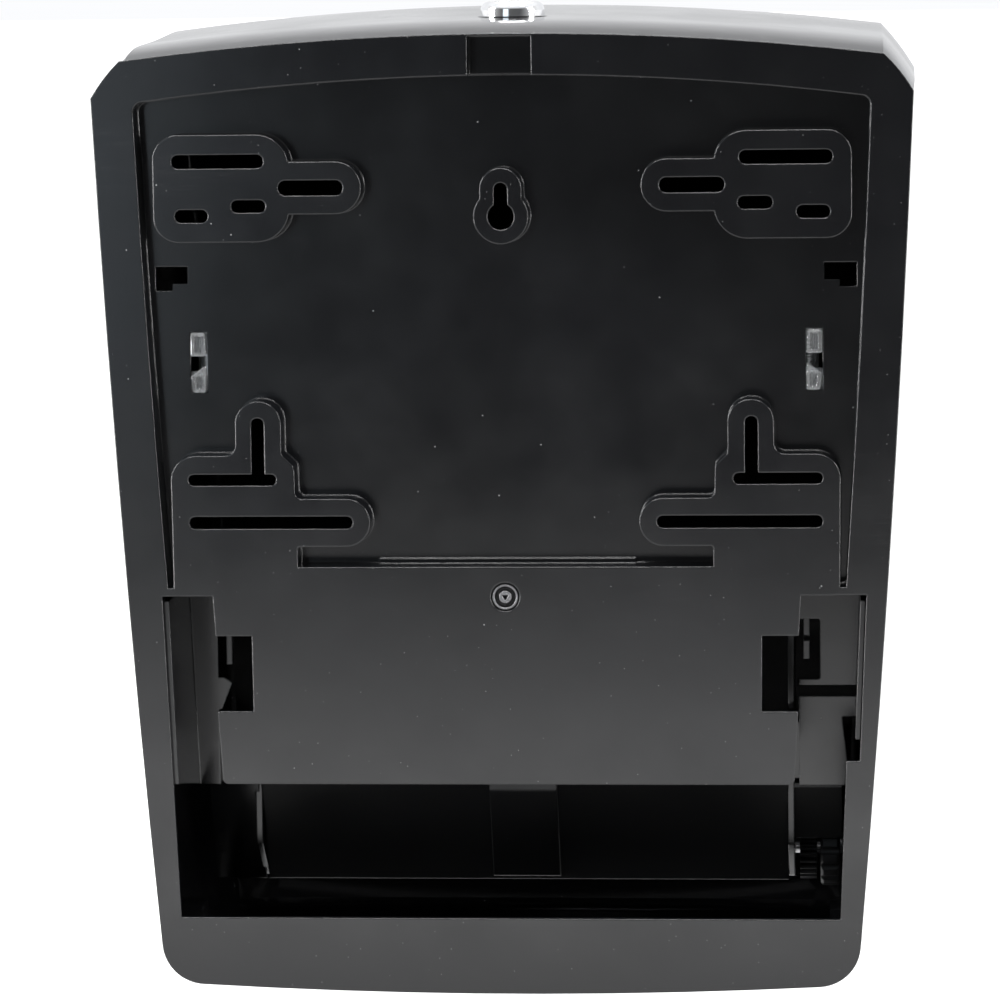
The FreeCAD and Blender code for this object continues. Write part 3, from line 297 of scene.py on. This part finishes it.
def clear_plastic(name):
    """Clear polycarbonate with moulding haze, milky where it is thick."""
    s = Shader(name)
    haze = s.ramp(s.noise(150.0, 4.0), 0.4, 0.75, 0.05, 0.16)
    normal = s.bump(s.noise(300.0), 0.08, 0.3 * MM, s.rounded(0.5 * MM))
    colour = s.mix(s.cloud(60.0), (0.93, 0.94, 0.94, 1), (0.82, 0.84, 0.86, 1))
    s.set(Base_Color=colour, Roughness=haze, Normal=normal, Transmission_Weight=0.9, IOR=1.58)
    return s.material


def smoked_lens(name):
    """Dark see-through acrylic."""
    s = Shader(name)
    colour = s.mix(s.cloud(12.0), (0.06, 0.06, 0.065, 1), (0.08, 0.08, 0.085, 1))
    rough = s.cloud(40.0, 5.0, start=0.03, end=0.09)
    rough = s.plus(rough, s.times(s.scratches((0.5, 0.2, 0.8), 12.0), 0.2))
    s.set(Base_Color=colour, Roughness=rough, Transmission_Weight=0.85, IOR=1.49)
    return s.material


def make_materials():
    """One material for each slot name in the record."""
    return {
        "chassis_black": satin_black("chassis_black", (0.0016, 0.0017, 0.0020), 0.17, 0.45),
        "guide_black": satin_black("guide_black", (0.0016, 0.0016, 0.0018), 0.38, 0.08),
        "gear_black": satin_black("gear_black", (0.0030, 0.0030, 0.0032), 0.5, 0.08),
        "cover_black": gloss_black("cover_black"),
        "smoke_lens": smoked_lens("smoke_lens"),
        "clear_arm": clear_plastic("clear_arm"),
        "grey_plastic": moulded_grey("grey_plastic", (0.17, 0.175, 0.18)),
        "steel": brushed_metal("steel", (0.60, 0.60, 0.61), 0.24, DRAWN_GRAIN),
        "zinc_steel": brushed_metal("zinc_steel", (0.52, 0.54, 0.56), 0.32, PLATED_GRAIN),
        "chrome_lock": chrome("chrome_lock"),
        "roller_rubber": roller_rubber("roller_rubber"),
        "screw_black": dark_steel("screw_black"),
    }


def paint(materials):
    """Give every CAD node the material of its slot in the record."""
    for entry in frame["record"]["subparts"]:
        mesh = NODES[entry["node"]].data
        mesh.materials.clear()
        mesh.materials.append(materials[entry["material_slot"]])


# ---------------------------------------------------------------- stage, lights and camera
def make_floor(height):
    """Pale floor that glows in a pool on the wall side, behind the object and to its sides."""
    depth = FLOOR_REACH + FLOOR_FRONT
    bpy.ops.mesh.primitive_plane_add(size=1.0, location=(0, FLOOR_FRONT - depth / 2, height))
    floor = bpy.context.object
    floor.name = "floor"
    floor.scale = (2 * FLOOR_REACH, depth, 1.0)
    bpy.ops.object.transform_apply(location=True, rotation=False, scale=True)
    s = Shader("floor_paper")
    place = s.add("ShaderNodeSeparateXYZ", {"Vector": s.coordinates})
    forward = place.outputs["Y"]
    aside = s.math("ABSOLUTE", place.outputs["X"], 0.0)
    pool = s.times(s.ramp(forward, *POOL_RISE), s.ramp(forward, *POOL_FADE, POOL_GLOW, 0.0))
    pool = s.times(pool, s.ramp(aside, *SIDE_EDGE, 1.0, 0.0))
    glow = s.plus(pool, s.ramp(forward, *NEAR_EDGE, NEAR_GLOW, 0.0))
    glow = s.either(glow, s.ramp(forward, *FAR_EDGE, FAR_GLOW, 0.0))
    glow = s.either(glow, s.ramp(aside, *SIDE_EDGE, 0.0, SIDE_GLOW))
    paper = s.mix(s.cloud(2.0), grey(0.36), grey(0.40))
    s.set(Base_Color=paper, Roughness=0.9, Emission_Color=grey(1.0), Emission_Strength=glow)
    floor.data.materials.append(s.material)


def make_world():
    """Bright studio on the room's side, dim on the wall side, and plain white as a backdrop."""
    world = bpy.data.worlds.new("studio")
    world.use_nodes = True
    tree = world.node_tree

    def ramp(value, low, high, start, end):
        node = tree.nodes.new("ShaderNodeMapRange")
        tree.links.new(value, node.inputs["Value"])
        for name, number in (("From Min", low), ("From Max", high), ("To Min", start), ("To Max", end)):
            node.inputs[name].default_value = number
        return node.outputs[0]

    def either(a, b):
        node = tree.nodes.new("ShaderNodeMath")
        node.operation = "MAXIMUM"
        tree.links.new(a, node.inputs[0])
        tree.links.new(b, node.inputs[1])
        return node.outputs[0]

    coordinate = tree.nodes.new("ShaderNodeTexCoord")
    split = tree.nodes.new("ShaderNodeSeparateXYZ")
    tree.links.new(coordinate.outputs["Generated"], split.inputs[0])
    facing = ramp(split.outputs["Y"], *WALL_SIDE, ROOM_LIGHT, WALL_LIGHT)
    above = ramp(split.outputs["Z"], *OVERHEAD, 0.0, OVERHEAD_LIGHT)
    backdrop = tree.nodes.new("ShaderNodeLightPath").outputs["Is Camera Ray"]
    background = tree.nodes["Background"]
    background.inputs["Color"].default_value = STUDIO_COLOUR
    tree.links.new(either(either(facing, above), backdrop), background.inputs["Strength"])
    bpy.context.scene.world = world


def make_lights():
    """Rectangular lights, all turned to the middle of the object."""
    for name, place, width, height, power, colour in LIGHTS:
        light = bpy.data.lights.new(name, "AREA")
        light.shape = "RECTANGLE"
        light.size = width
        light.size_y = height
        light.energy = power
        light.color = colour
        item = bpy.data.objects.new(name, light)
        item.location = place
        item.rotation_mode = "QUATERNION"
        item.rotation_quaternion = (Vector(LIGHT_TARGET) - Vector(place)).to_track_quat("-Z", "Y")
        bpy.context.scene.collection.objects.link(item)


def make_camera():
    data = bpy.data.cameras.new("camera")
    data.lens = CAMERA_LENS
    data.sensor_width = CAMERA_SENSOR
    data.clip_end = CAMERA_SIGHT
    camera = bpy.data.objects.new("camera", data)
    a, e = CAMERA_AZIMUTH, CAMERA_ELEVATION
    back = Vector((math.sin(a) * math.cos(e), -math.cos(a) * math.cos(e), math.sin(e)))
    right = Vector((math.cos(a), math.sin(a), 0.0))
    up = back.cross(right)
    turned_right = right * math.cos(CAMERA_ROLL) + up * math.sin(CAMERA_ROLL)
    turned_up = up * math.cos(CAMERA_ROLL) - right * math.sin(CAMERA_ROLL)
    rotation = Matrix((turned_right, turned_up, back)).transposed().to_4x4()
    camera.matrix_world = Matrix.Translation(CAMERA_AIM + back * CAMERA_DISTANCE) @ rotation
    bpy.context.scene.collection.objects.link(camera)
    bpy.context.scene.camera = camera


def main():
    bpy.context.scene.view_settings.view_transform = "Standard"
    make_camera()
    make_world()
    make_lights()
    make_floor(CAD_BOX[0].z - FLOOR_DROP)
    paint(make_materials())


main()
